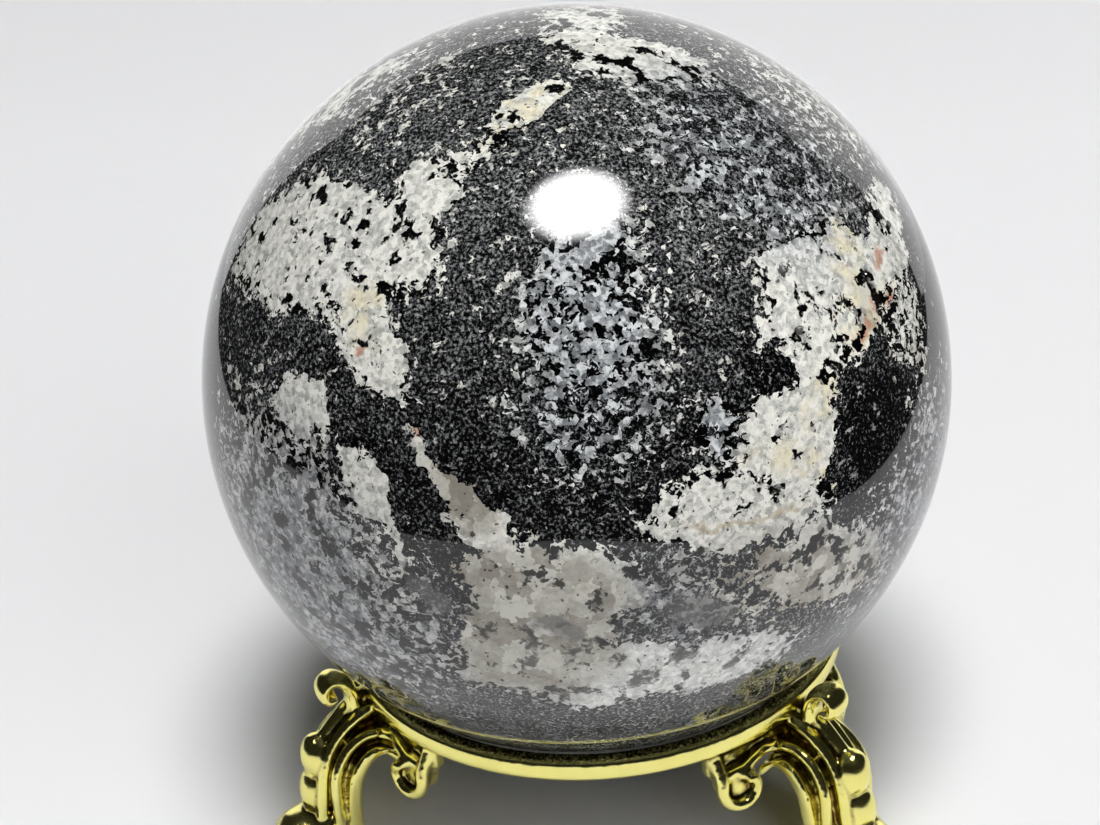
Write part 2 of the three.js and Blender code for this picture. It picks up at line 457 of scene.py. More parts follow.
# The stone: where the light and dark minerals lie on the ball.
# Each patch is (turn round the ball from the front, rise above its middle, half length, half width, tilt),
# in degrees and millimetres. Light and mixed patches add the share of light grains in them.
LIGHT_PATCHES = {
    "left_body": (-39.6, 40.7, 14.5, 6.6, 12.7, 0.92),
    "left_tail": (-21.7, 31.0, 6.8, 3.2, -42.8, 0.97),
    "left_finger": (-19.7, 51.9, 3.8, 2.7, 14.3, 0.92),
    "left_small": (-33.2, 19.1, 4.4, 3.2, -3.0, 0.95),
    "wedge": (-20.0, 11.3, 4.0, 2.0, -56.1, 0.98),
    "wedge_tail": (-16.2, 4.0, 3.2, 0.6, -79.6, 0.8),
    "vein_top": (-11.2, 17.1, 2.8, 0.6, -56.0, 0.95),
    "vein": (-7.3, 12.2, 3.6, 0.9, -48.9, 1.0),
    "vein_foot": (-3.6, 6.6, 4.0, 1.7, -52.0, 0.98),
    "lower_upper": (6.0, -0.8, 8.8, 3.8, -11.0, 0.95),
    "lower_body": (2.2, -10.7, 8.0, 7.0, 58.9, 0.96),
    "bottom_band": (14.3, -19.6, 17.0, 4.6, -7.7, 0.95),
    "right_upper": (55.6, 29.0, 8.8, 6.4, -0.3, 0.97),
    "right_corner": (49.9, 34.8, 3.8, 2.8, -2.6, 0.98),
    "right_strip": (77.6, 29.7, 6.2, 4.2, 25.4, 0.95),
    "right_middle": (42.1, 15.2, 8.0, 4.8, 71.8, 0.96),
    "right_low": (32.2, 5.1, 9.2, 3.7, -11.1, 0.97),
    "right_beige": (45.0, -8.6, 9.5, 4.5, -24.4, 0.82),
    "cream_streak": (0.5, 66.8, 5.2, 2.0, 43.8, 0.95),
    "cream_tail": (-11.4, 57.5, 4.0, 1.4, 42.3, 0.66),
    "top_belt": (58.9, 71.9, 6.4, 3.6, -45.2, 0.9),
    "back_right": (140.0, 26.0, 15.0, 6.5, 28.0, 0.90),
    "back_right_tail": (118.0, 4.0, 8.0, 3.4, 62.0, 0.94),
    "back_left": (-138.0, 36.0, 13.0, 6.2, -22.0, 0.87),
    "back_left_tail": (-118.0, 14.0, 7.0, 3.0, -58.0, 0.92),
    "back_vein": (172.0, 8.0, 9.0, 1.2, -50.0, 0.97),
    "back_low": (-170.0, -14.0, 12.0, 7.5, 35.0, 0.94),
    "back_band": (155.0, -28.0, 13.0, 4.4, 6.0, 0.88),
    "left_low_back": (-108.0, -14.0, 10.0, 5.0, 66.0, 0.90),
    "back_crown": (-165.0, 66.0, 9.0, 4.5, 12.0, 0.72),
}
# Zones with soft borders, where light and dark grains mix
MIXED_PATCHES = {
    "left_crown": (-86.0, 57.0, 10.0, 4.2, 80.0, 0.85),
    "upper_left": (-53.7, 65.8, 8.4, 6.5, -51.6, 0.22),
    "crown": (100.0, 84.0, 9.0, 4.0, 0.0, 0.75),
    "upper_right": (57.7, 51.4, 12.5, 10.4, -63.1, 0.36),
    "right_side": (69.9, 19.2, 5.0, 4.5, 70.0, 0.55),
    "blue_centre": (13.3, 34.9, 8.6, 6.6, 82.2, 0.58),
    "below_lamp": (14.0, 44.0, 4.6, 2.6, 0.0, 0.72),
    "blue_lower": (12.3, 22.0, 8.0, 6.4, -6.0, 0.34),
    "blue_side": (30.5, 17.0, 3.3, 2.8, 87.1, 0.7),
    "lower_left": (-34.5, -6.3, 16.6, 12.6, -61.7, 0.74),
    "right_limb": (67.5, -10.1, 12.6, 8.8, 62.7, 0.62),
    "lower_middle": (25.1, -6.8, 9.6, 5.2, -23.5, 0.35),
    "back_upper": (100.0, 48.0, 11.0, 8.0, -52.0, 0.40),
    "back_middle": (-160.0, 20.0, 10.0, 7.0, 74.0, 0.45),
    "back_lower": (110.0, -22.0, 13.0, 8.0, 40.0, 0.60),
    "back_lower_left": (-125.0, -30.0, 12.0, 8.0, -35.0, 0.55),
}
# Mixed zones whose feldspar is dull, partly its own tone and partly a painted reflection of the pale floor,
# and mixed zones whose feldspar is blue-grey
DULL_AND_REFLECTION_PATCHES = ("lower_left", "right_limb", "lower_middle")
BLUE_PATCHES = ("upper_right", "below_lamp", "blue_centre", "blue_lower", "blue_side")
# Zones without light grains
DARK_PATCHES = {
    "dark_right": (57.2, 8.8, 6.3, 4.5, -36.4),
    "dark_limb": (84.4, 19.3, 6.8, 4.7, 75.7),
    "dark_notch": (40.7, 23.2, 3.1, 2.2, 70.5),
}
# Stains and other minerals within the light zones
CREAM_PATCHES = {
    "streak": (0.5, 66.8, 5.2, 2.0, 43.8),
    "stain_left": (-23.9, 34.2, 2.6, 2.2, -15.3),
    "stain_yellow": (41.3, 8.3, 4.9, 1.6, -38.5),
    "stain_right": (60.5, 24.0, 4.4, 2.6, 7.6),
    "stain_high": (63.0, 32.0, 3.6, 2.0, 70.0),
    "stain_middle": (47.0, 16.0, 3.4, 2.0, 60.0),
}
QUARTZ_PATCHES = {
    "vein": (-7.3, 12.2, 5.0, 1.6, -48.9),
    "upper": (2.6, -1.0, 9.4, 3.6, -11.0),
    "body": (2.2, -10.7, 9.0, 8.0, 58.9),
    "right": (40.8, -9.8, 12.9, 5.5, -24.4),
    "beside_crack": (61.6, 25.0, 3.0, 1.5, 80.0),
}
LENS_PATCHES = {
    "middle": (5.1, -9.3, 2.3, 1.2, -20.9),
    "left": (-12.5, -4.6, 2.6, 1.5, -70.0),
    "right": (26.0, -9.0, 4.2, 2.2, -23.5),
}
RUST_PATCHES = {
    "limb_high": (70.7, 28.8, 1.3, 0.8, 3.1),
    "limb_outer": (68.1, 23.4, 1.1, 0.8, 12.5),
    "limb_middle": (64.1, 23.5, 0.9, 0.7, 11.2),
    "limb_inner": (59.8, 22.1, 0.9, 0.7, -11.9),
    "vein": (-12.8, 19.8, 0.7, 0.6, 85.0),
    "left": (-22.8, 30.6, 0.6, 0.5, 0.0),
}
OCHRE_PATCHES = {
    "limb": (74.3, 10.7, 3.1, 1.4, -23.7),
    "line": (32.1, 3.6, 6.3, 0.3, -11.9),
}

# A crack in the stone, as a patch, with its depth and how finely the ball's mesh is cut there. Inside the
# patch the stone is painted near black, as painted shade in the crack.
CRACK = (64.8, 25.7, 2.1, 0.6, 82.0)
CRACK_DEPTH = 0.8
CRACK_CUTS = 5
CRACK_WOBBLE = 0.5
CRACK_WOBBLES_IN_MM = 1.3

# How softly the patches end, and how deep they reach into the ball as a share of its radius
LIGHT_SOFTNESS = 0.22
MIXED_SOFTNESS = 0.45
DARK_SOFTNESS = 0.2
MINERAL_SOFTNESS = 0.3
CREAM_SOFTNESS = 0.6
STAIN_SOFTNESS = 0.5
LENS_SOFTNESS = 0.35
PATCH_DEPTH = 0.5

# Soft noises in the stone, as (size of the features, detail, roughness)
ZONE_DRIFT_NOISE = (7.0, 3.0, 0.55)
FRAY_NOISE = (1.3, 2.0, 0.6)
CLUSTER_NOISE = (2.3, 3.0, 0.55)
BLOB_NOISE = (1.2, 3.0, 0.65)
SPECKLE_NOISE = (0.32, 3.0, 0.7)
MICA_DRIFT_NOISE = (2.4, 3.0, 0.6)
FELDSPAR_NOISE = (0.8, 4.0, 0.75)
QUARTZ_NOISE = (1.2, 5.0, 0.75)
BLOTCH_NOISE = (2.0, 3.0, 0.6)

# How far a noise moves the borders of zones, grains and the crack
ZONE_DRIFT = 6.5
ZONE_FRAY = 2.4
GRAIN_FRAY = 1.2
QUARTZ_FRAY = 3.0
CRACK_FRAY = 0.8

GRAIN_SIZE = 0.55
QUARTZ_GRAIN_SIZE = 2.5
BLOB_STRETCH = (0.75, 0.75, 1.45)

# Smooth changes, as (from, to), or as (from, to, value at the first, value at the second).
# The veil is 1 low on the ball, where the grains have soft edges and dull tones; it is a painted reflection
# of the pale floor.
LIGHT_BY_HEIGHT = (8.0, 36.0, 0.0, 0.06)
FLOOR_REFLECTION_BY_HEIGHT = (-10.0, 4.0, 1.0, 0.0)
CLUSTER_CONTRAST = (0.32, 0.68)
BLOB_CONTRAST = (0.30, 0.70)
DRAW_CONTRAST = (0.10, 0.90)
COARSE_BY_SHARE = (0.45, 0.85)
CRISP_EDGE = (-0.03, 0.03)
REFLECTION_VEILED_EDGE = (-0.13, 0.17)
PIN_SIZES = (0.72, 1.0, 0.0, 0.30)
FLAKES_BY_HEIGHT = (6.0, 30.0, 0.0, 0.064)
FLAKES_LOST_BY_SHARE = (0.25, 0.60, 0.0, 0.14)
FLAKE_CONTRAST = (0.45, 0.73)
BLOTCH_CONTRAST = (0.40, 0.62)

# How much each effect counts
CHANCE_IN_COARSE = 0.22
CHANCE_IN_FINE = 0.45
PIN_STRENGTH = 0.8
FLAKE_DRIFT = 0.16
FLAKES_LOST_IN_DARK = 0.04
FLAKES_IN_DULL_AND_REFLECTION = 0.065
FELDSPAR_CHANCE = 0.25
QUARTZ_CHANCE = 0.40
CREAM_STRENGTH = 0.6
RUST_STRENGTH = 0.75
OCHRE_STRENGTH = 0.5
LENS_STRENGTH = 0.65

# Colours of the minerals, as the share of red, green and blue light that they send back
BLACK_MICA = [
    (0.00, (0.0006, 0.0006, 0.0007)),
    (0.16, (0.005, 0.0052, 0.0055)),
    (0.34, (0.029, 0.0295, 0.030)),
    (0.53, (0.071, 0.073, 0.075)),
    (0.70, (0.123, 0.128, 0.132)),
    (0.92, (0.225, 0.233, 0.237)),
    (1.00, (0.33, 0.33, 0.32)),
]
WHITE_FELDSPAR = [(0.34, (0.34, 0.345, 0.32)), (0.5, (0.64, 0.635, 0.585)), (0.62, (0.80, 0.79, 0.73))]
BLUE_FELDSPAR = [(0.34, (0.10, 0.105, 0.11)), (0.5, (0.27, 0.285, 0.295)), (0.64, (0.62, 0.64, 0.65))]
# Dull feldspar, partly its own tone and partly a painted reflection of the floor
DULL_AND_REFLECTED_FELDSPAR = [(0.34, (0.10, 0.104, 0.112)), (0.5, (0.25, 0.256, 0.265)), (0.64, (0.50, 0.50, 0.49))]
PALE_FELDSPAR = [(0.34, (0.48, 0.48, 0.46)), (0.5, (0.66, 0.66, 0.63)), (0.64, (0.84, 0.84, 0.80))]
BEIGE_QUARTZ = [(0.30, (0.24, 0.22, 0.185)), (0.5, (0.38, 0.36, 0.31)), (0.68, (0.58, 0.57, 0.51))]
CREAM_STAIN = (0.74, 0.66, 0.42)
LENS_GREY = (0.13, 0.125, 0.125)
RUST = (0.46, 0.20, 0.11)
OCHRE = (0.36, 0.27, 0.13)
# Painted shade inside the crack
CRACK_SHADE_BLACK = (0.006, 0.005, 0.004)

STONE_ROUGHNESS = 0.05
STONE_IOR = 1.54
STONE_RIPPLE = {"Size": 6.0, "Strength": 0.02}


def patch_frame(turn, rise, tilt):
    """The middle of a patch on the ball, and the turn that lays its length along the tilt."""
    turn, rise, tilt = math.radians(turn), math.radians(rise), math.radians(tilt)
    out = Vector((math.sin(turn) * math.cos(rise), -math.cos(turn) * math.cos(rise), math.sin(rise)))
    east = Vector((0, 0, 1)).cross(out).normalized()
    north = out.cross(east)
    along = east * math.cos(tilt) + north * math.sin(tilt)
    return out * BALL_RADIUS, Matrix((along, out.cross(along), out)).transposed()


class StoneNodes:
    """The places, masks and grains that the stone's minerals share."""

    def __init__(self, tree, patch):
        self.tree = tree
        self.patch = patch
        self.place = place_in_mm(tree, BALL_CENTRE)
        self.height = height_of(tree, self.place)
        self.fray = offsets(tree, self.place, FRAY_NOISE)
        drifting = moved(tree, self.place, offsets(tree, self.place, ZONE_DRIFT_NOISE), ZONE_DRIFT)
        self.wandering = moved(tree, drifting, self.fray, ZONE_FRAY)
        self.frayed = moved(tree, self.place, self.fray, GRAIN_FRAY)
        self.cell, self.cell_distance = grains(tree, self.frayed, GRAIN_SIZE)
        self.dark = self.any_of(DARK_PATCHES.values(), DARK_SOFTNESS)
        # Painted reflection of the pale floor, low on the ball
        self.floor_reflection = eased(tree, height_of(tree, self.wandering), *FLOOR_REFLECTION_BY_HEIGHT)
        self.dull_and_reflection = larger(tree, self.floor_reflection, self.any_mixed(DULL_AND_REFLECTION_PATCHES))

    def mask(self, where, softness, at=None):
        """A mask of one patch, with wandering borders unless another place is given."""
        turn, rise, length, width, tilt = where
        centre, basis = patch_frame(turn, rise, tilt)
        values = {
            "Place": self.wandering if at is None else at,
            "Centre": centre,
            "Turn": basis.to_euler(),
            "Size": (length, width, BALL_RADIUS * PATCH_DEPTH),
            "Softness": softness,
        }
        return placed_group(self.tree, self.patch, "Mask", **values)

    def any_of(self, patches, softness):
        """One mask of several patches."""
        whole = 0.0
        for where in patches:
            whole = larger(self.tree, whole, self.mask(where, softness))
        return whole

    def any_mixed(self, names):
        return self.any_of([MIXED_PATCHES[name][:-1] for name in names], MIXED_SOFTNESS)


def share_of_light_grains(stone):
    tree = stone.tree
    share = eased(tree, stone.height, *LIGHT_BY_HEIGHT)
    for patches, softness in ((MIXED_PATCHES, MIXED_SOFTNESS), (LIGHT_PATCHES, LIGHT_SOFTNESS)):
        for *where, light in patches.values():
            share = larger(tree, share, times(tree, stone.mask(where, softness), light))
    return mixed_value(tree, stone.dark, share, 0.0)


def light_grains(stone, share):
    """1 in light grains and 0 in dark ones.

    Grains take a side by a random number of their own, so that zones end in a ragged edge of whole grains.
    Light zones hold clusters of dark grains, and mixed zones have finer grains that lie along the ball.
    """
    tree = stone.tree
    chance = one_channel(tree, stone.cell, "Red")
    clusters = eased(tree, clouds(tree, stone.frayed, *CLUSTER_NOISE), *CLUSTER_CONTRAST)
    lying = stretched(tree, stone.wandering, BLOB_STRETCH)
    blobs = eased(tree, clouds(tree, lying, *BLOB_NOISE), *BLOB_CONTRAST)
    coarse = eased(tree, weighted(tree, chance, CHANCE_IN_COARSE, clusters), *DRAW_CONTRAST)
    fine = eased(tree, weighted(tree, chance, CHANCE_IN_FINE, blobs), *DRAW_CONTRAST)
    draw = mixed_value(tree, eased(tree, share, *COARSE_BY_SHARE), fine, coarse)
    lead = minus(tree, share, draw)
    # Low on the ball the painted reflection of the floor softens the grains' edges
    light = mixed_value(tree, stone.floor_reflection, eased(tree, lead, *CRISP_EDGE), eased(tree, lead, *REFLECTION_VEILED_EDGE))
    pin_size = eased(tree, one_channel(tree, stone.cell, "Blue"), *PIN_SIZES)
    pin = maths(tree, "LESS_THAN", stone.cell_distance, pin_size)
    return times(tree, light, minus(tree, 1.0, times(tree, pin, PIN_STRENGTH)))


def mica_colour(stone, share):
    """Black mica with small bright flakes, more of them towards the top and in dull zones, where the extra
    flakes are partly a painted reflection of the pale floor.
    """
    tree = stone.tree
    flakes = eased(tree, stone.height, *FLAKES_BY_HEIGHT)
    drift = minus(tree, clouds(tree, stone.place, *MICA_DRIFT_NOISE), NOISE_MIDDLE)
    flakes = plus(tree, flakes, times(tree, drift, FLAKE_DRIFT))
    flakes = minus(tree, flakes, times(tree, stone.dark, FLAKES_LOST_IN_DARK))
    flakes = minus(tree, flakes, eased(tree, share, *FLAKES_LOST_BY_SHARE))
    # More bright flakes where the floor's reflection is painted, and in the stone's own dull zones
    flakes = plus(tree, flakes, times(tree, stone.dull_and_reflection, FLAKES_IN_DULL_AND_REFLECTION))
    speckle = clouds(tree, stone.place, *SPECKLE_NOISE)
    return ramp(tree, eased(tree, plus(tree, speckle, flakes), *FLAKE_CONTRAST), BLACK_MICA)


def grain_tone(stone, cell, channel, chance, noise_settings):
    """A tone for each grain, with fine clouds in it."""
    clouded = clouds(stone.tree, stone.place, *noise_settings)
    return weighted(stone.tree, one_channel(stone.tree, cell, channel), chance, clouded)


def stained(stone, colour, mask, strength, stain):
    return mixed(stone.tree, times(stone.tree, mask, strength), colour, opaque(stain))


def feldspar_colour(stone):
    """Feldspar and quartz in grains of their own tone, with cream, rust and ochre stains."""
    tree = stone.tree
    tone = grain_tone(stone, stone.cell, "Green", FELDSPAR_CHANCE, FELDSPAR_NOISE)
    colour = ramp(tree, tone, WHITE_FELDSPAR)
    blue = stone.any_mixed(BLUE_PATCHES)
    pale = stone.mask(LIGHT_PATCHES["bottom_band"][:-1], MINERAL_SOFTNESS)
    # Dull feldspar is partly its own tone and partly a painted reflection of the floor
    for mask, stops in ((blue, BLUE_FELDSPAR), (stone.dull_and_reflection, DULL_AND_REFLECTED_FELDSPAR), (pale, PALE_FELDSPAR)):
        colour = mixed(tree, mask, colour, ramp(tree, tone, stops))

    quartz_cell, _ = grains(tree, moved(tree, stone.place, stone.fray, QUARTZ_FRAY), QUARTZ_GRAIN_SIZE)
    quartz_tone = grain_tone(stone, quartz_cell, "Red", QUARTZ_CHANCE, QUARTZ_NOISE)
    quartz = stone.any_of(QUARTZ_PATCHES.values(), MINERAL_SOFTNESS)
    colour = mixed(tree, quartz, colour, ramp(tree, quartz_tone, BEIGE_QUARTZ))

    blotches = eased(tree, clouds(tree, stone.place, *BLOTCH_NOISE), *BLOTCH_CONTRAST)
    cream = times(tree, stone.any_of(CREAM_PATCHES.values(), CREAM_SOFTNESS), blotches)
    colour = stained(stone, colour, cream, CREAM_STRENGTH, CREAM_STAIN)
    rust = stone.any_of(RUST_PATCHES.values(), STAIN_SOFTNESS)
    colour = stained(stone, colour, rust, RUST_STRENGTH, RUST)
    ochre = stone.any_of(OCHRE_PATCHES.values(), STAIN_SOFTNESS)
    return stained(stone, colour, ochre, OCHRE_STRENGTH, OCHRE)


def stone_material(patch, ripple):
    material, tree, shader = new_material("polished_stone")
    stone = StoneNodes(tree, patch)
    share = share_of_light_grains(stone)
    colour = mixed(tree, light_grains(stone, share), mica_colour(stone, share), feldspar_colour(stone))
    lens = stone.any_of(LENS_PATCHES.values(), LENS_SOFTNESS)
    colour = stained(stone, colour, lens, LENS_STRENGTH, LENS_GREY)
    crack = stone.mask(CRACK, MINERAL_SOFTNESS, moved(tree, stone.place, stone.fray, CRACK_FRAY))
    # Painted shade: the crack's inside is painted near black
    colour = mixed(tree, crack, colour, opaque(CRACK_SHADE_BLACK))
    tree.links.new(colour, shader.inputs["Base Color"])
    shader.inputs["Roughness"].default_value = STONE_ROUGHNESS
    shader.inputs["IOR"].default_value = STONE_IOR
    polish = placed_group(tree, ripple, "Normal", Place=stone.place, **STONE_RIPPLE)
    tree.links.new(polish, shader.inputs["Normal"])
    return material


# The plating: pale gold, with painted shade, a brown darkening, in the hollows
PALE_GOLD = (0.95, 0.86, 0.26)
BRIGHT_GOLD = (0.99, 0.92, 0.33)
HOLLOW_SHADE_BROWN = (0.13, 0.065, 0.012)
HOLLOW_POINTINESS = 0.475
FLAT_POINTINESS = 0.503
GOLD_TONE_NOISE = (3.0, 3.0)
HOLLOW_SHADE_NOISE = (1.2, 3.0)
HOLLOW_SHADE_STRENGTH = (0.3, 0.6, 0.45, 0.95)
GOLD_ROUGHNESS = 0.19
GOLD_RIPPLE = {"Size": 1.4, "Strength": 0.22}


def gold_material(ripple):
    material, tree, shader = new_material("gold_plate")
    place = place_in_mm(tree)
    colour = mixed(tree, clouds(tree, place, *GOLD_TONE_NOISE), opaque(PALE_GOLD), opaque(BRIGHT_GOLD))
    geometry = tree.nodes.new("ShaderNodeNewGeometry")
    # Painted shade: the colour turns brown where the surface is hollow, in place of the shade that falls
    # there
    hollow = eased(tree, geometry.outputs["Pointiness"], HOLLOW_POINTINESS, FLAT_POINTINESS, 1.0, 0.0)
    painted_shade = times(tree, hollow, eased(tree, clouds(tree, place, *HOLLOW_SHADE_NOISE), *HOLLOW_SHADE_STRENGTH))
    colour = mixed(tree, painted_shade, colour, opaque(HOLLOW_SHADE_BROWN))
    tree.links.new(colour, shader.inputs["Base Color"])
    shader.inputs["Metallic"].default_value = 1.0
    shader.inputs["Roughness"].default_value = GOLD_ROUGHNESS
    polish = placed_group(tree, ripple, "Normal", Place=place, **GOLD_RIPPLE)
    tree.links.new(polish, shader.inputs["Normal"])
    return material


# Mesh helpers. Shapes are worked out in millimetres.

def mixed_number(pair, share):
    return pair[0] + (pair[1] - pair[0]) * share


def full_turn(count):
    """Evenly spaced angles round a circle."""
    return [2 * math.pi * i / count for i in range(count)]


class SmoothLine:
    """A centripetal curve through points, from 0 at the first to 1 at the last."""

    LEAST_KNOT = 1e-4
    TANGENT_STEP = 0.004

    def __init__(self, points):
        points = [Vector(p) for p in points]
        self.points = [points[0] * 2 - points[1], *points, points[-1] * 2 - points[-2]]
        self.spans = len(points) - 1

    def point(self, t):
        scaled = min(max(t, 0.0), 1.0) * self.spans
        start = min(int(scaled), self.spans - 1)
        share = scaled - start
        four = self.points[start:start + 4]
        knots = [0.0]
        for first, second in zip(four, four[1:]):
            knots.append(knots[-1] + max(math.sqrt((second - first).length), self.LEAST_KNOT))
        at = mixed_number((knots[1], knots[2]), share)

        def blend(a, b, low, high):
            return a * ((high - at) / (high - low)) + b * ((at - low) / (high - low))

        a1 = blend(four[0], four[1], knots[0], knots[1])
        a2 = blend(four[1], four[2], knots[1], knots[2])
        a3 = blend(four[2], four[3], knots[2], knots[3])
        b1 = blend(a1, a2, knots[0], knots[2])
        b2 = blend(a2, a3, knots[1], knots[3])
        return blend(b1, b2, knots[1], knots[2])

    def tangent(self, t):
        return (self.point(t + self.TANGENT_STEP) - self.point(t - self.TANGENT_STEP)).normalized()


def loft(mesh, rings):
    """Adds a closed body through rings of points, all in the same order, with flat ends."""
    rows = [[mesh.verts.new(p) for p in ring] for ring in rings]
    count = len(rings[0])
    for first, second in zip(rows, rows[1:]):
        for j in range(count):
            following = (j + 1) % count
            mesh.faces.new((first[j], first[following], second[following], second[j]))
    for row in (rows[0], rows[-1]):
        middle = mesh.verts.new(sum((v.co for v in row), Vector()) / count)
        for j in range(count):
            mesh.faces.new((row[j], row[(j + 1) % count], middle))


# A bar runs sideways where this much of its direction does
SIDEWAYS = 0.5


def first_across(along):
    """A direction across a bar's start: sideways, unless the bar itself runs that way."""
    if abs(along.y) > SIDEWAYS:
        return along.orthogonal().normalized()
    return Vector((0, 1, 0))


def bar(mesh, line, steps, sides, size_at):
    """Adds a bar along a line with an oval section. size_at gives its half width and half thickness."""
    angles = full_turn(sides)
    rings = []
    across = first_across(line.tangent(0))
    for i in range(steps + 1):
        t = i / steps
        along = line.tangent(t)
        across = (across - along * across.dot(along)).normalized()
        through = along.cross(across)
        half_width, half_thickness = size_at(t)
        centre = line.point(t)
        rings.append([
            centre + across * (half_width * math.cos(angle)) + through * (half_thickness * math.sin(angle))
            for angle in angles
        ])
    loft(mesh, rings)


def leg_ring(lines, t):
    """A leg's section: ridges with rounded coves between them from side to side, then the back."""
    ridges = [line.point(t) for line in lines]
    crest = lines[len(lines) // 2]
    along = crest.tangent(min(max(t, LEG_END), 1 - LEG_END))
    half = ("scroll", "leaf", "crest")
    ring = []
    for groove, ridge, following in zip(half + half[::-1], ridges, ridges[1:]):
        chord = following - ridge
        outward = chord.cross(along).normalized()
        for j in range(GROOVE_STEPS):
            share = j / GROOVE_STEPS
            hollow = math.sin(math.pi * share) ** GROOVE_ROUNDNESS
            ring.append(ridge + chord * share - outward * (GROOVES[groove] * chord.length * hollow))
    ring.append(ridges[-1])
    inward = -(ridges[-1] - ridges[0]).cross(along).normalized()
    ring.append(ridges[-1] + inward * LEG_BACK)
    ring.append(ridges[0] + inward * LEG_BACK)
    return ring


def sided(line, side):
    """A leg's line on its own side for 1, or on the other side for -1."""
    return SmoothLine([(out, side * aside, height) for out, aside, height in line])


def add_leg_body(mesh):
    lines = [sided(line, 1) for line in (RIM_LINE, SCROLL_LINE, LEAF_LINE, CREST_LINE)]
    lines.extend(sided(line, -1) for line in (LEAF_LINE, SCROLL_LINE, RIM_LINE))
    loft(mesh, [leg_ring(lines, i / LEG_STEPS) for i in range(LEG_STEPS + 1)])


def add_ribs(mesh):
    for name, points in (("crest", CREST_LINE), ("leaf", LEAF_LINE), ("scroll", SCROLL_LINE)):
        radius, inset = RIBS[name]
        towards_axis, down = (inset * share for share in RIB_INWARD)
        inner = [(out - towards_axis, aside, height - down) for out, aside, height in points]
        sides = (1,) if name == "crest" else (1, -1)
        for side in sides:
            bar(mesh, sided(inner, side), LEG_STEPS, RIB_SIDES, lambda t: (radius, radius))


def turned(side, radius, turn, height):
    """A point at a radius from the axis, turned to one side of the leg's middle."""
    return Vector((radius * math.cos(turn), side * radius * math.sin(turn), height))


def beside_eye(side, radius, along, height):
    """A point beside a volute's eye, so far along the ring from it."""
    return turned(side, radius, VOLUTE_TURN + along / radius, height)


def add_volute(mesh, side):
    start = RING_FOOT_RADIUS - VOLUTE_RIM_RADII[0]
    points = [beside_eye(side, start, VOLUTE_RADIUS, RING_FOOT + APRON_RISE)]
    for i in range(VOLUTE_POINTS):
        share = i / (VOLUTE_POINTS - 1)
        sweep = VOLUTE_START_SWEEP - VOLUTE_SWEEP * share
        radius = VOLUTE_RADIUS * mixed_number((1, VOLUTE_EYE_SHARE), share ** 2)
        out = VOLUTE_OUT - VOLUTE_LEAN * (1 - share) ** 2
        height = VOLUTE_HEIGHT + radius * math.sin(sweep)
        points.append(beside_eye(side, out, radius * math.cos(sweep), height))

    def size_at(t):
        radius = mixed_number(VOLUTE_RIM_RADII, t)
        return radius, radius

    bar(mesh, SmoothLine(points), VOLUTE_STEPS, VOLUTE_SIDES, size_at)


def add_feed(mesh, side):
    out, aside, height = FEED_START
    points = [(out, side * aside, height)]
    points.extend(beside_eye(side, *place) for place in FEED_LINE)
    bar(mesh, SmoothLine(points), FEED_STEPS, FEED_SIDES, lambda t: (FEED_RADIUS, FEED_RADIUS))


def add_volute_face(mesh, side):
    """Adds the round plate that closes a volute."""
    rings = []
    for depth in (-VOLUTE_FACE_DEPTH / 2, VOLUTE_FACE_DEPTH / 2):
        out = VOLUTE_OUT - VOLUTE_FACE_INSET + depth
        ring = []
        for angle in full_turn(VOLUTE_FACE_SIDES):
            height = VOLUTE_HEIGHT + VOLUTE_RADIUS * math.sin(angle)
            ring.append(beside_eye(side, out, VOLUTE_RADIUS * math.cos(angle), height))
        rings.append(ring)
    loft(mesh, rings)


def add_apron(mesh, side):
    edge = SmoothLine([(turn * APRON_TURN_SCALE, low, outer) for turn, low, outer in APRON_LINE])
    top = RING_FOOT + APRON_RISE
    rings = []
    for i in range(APRON_STEPS + 1):
        scaled_turn, low, outer = edge.point(i / APRON_STEPS)
        turn = scaled_turn / APRON_TURN_SCALE
        rings.append([
            turned(side, APRON_INNER_RADIUS, turn, low),
            turned(side, outer, turn, low),
            turned(side, outer, turn, top),
            turned(side, APRON_INNER_RADIUS, turn, top),
        ])
    loft(mesh, rings)


def add_curl(mesh):
    def size_at(t):
        return mixed_number(CURL_HALF_WIDTHS, t), mixed_number(CURL_HALF_THICKNESSES, t)

    bar(mesh, SmoothLine(CURL_LINE), CURL_STEPS, CURL_SIDES, size_at)


def add_lobe(mesh, out, height, half_depth, half_height):
    rings = []
    for i in range(1, LOBE_STEPS):
        tip = math.pi * i / LOBE_STEPS
        ring = []
        for angle in full_turn(LOBE_SIDES):
            ring.append(Vector((
                out + half_depth * math.sin(tip) * math.cos(angle),
                LOBE_HALF_WIDTH * math.sin(tip) * math.sin(angle),
                height + half_height * math.cos(tip),
            )))
        rings.append(ring)
    loft(mesh, rings)


def add_foot(mesh):
    line = SmoothLine(FOOT_LINE)
    rings = []
    for i in range(FOOT_STEPS + 1):
        out, half, top = line.point(i / FOOT_STEPS)
        ring = []
        for j in range(FOOT_ARC_STEPS + 1):
            angle = math.pi * j / FOOT_ARC_STEPS
            height = FOOT_EDGE + (top - FOOT_EDGE) * math.sin(angle)
            ring.append(Vector((out, half * math.cos(angle), height)))
        ring.append(Vector((out, -half * FOOT_SOLE_SHARE, 0)))
        ring.append(Vector((out, half * FOOT_SOLE_SHARE, 0)))
        rings.append(ring)
    loft(mesh, rings)


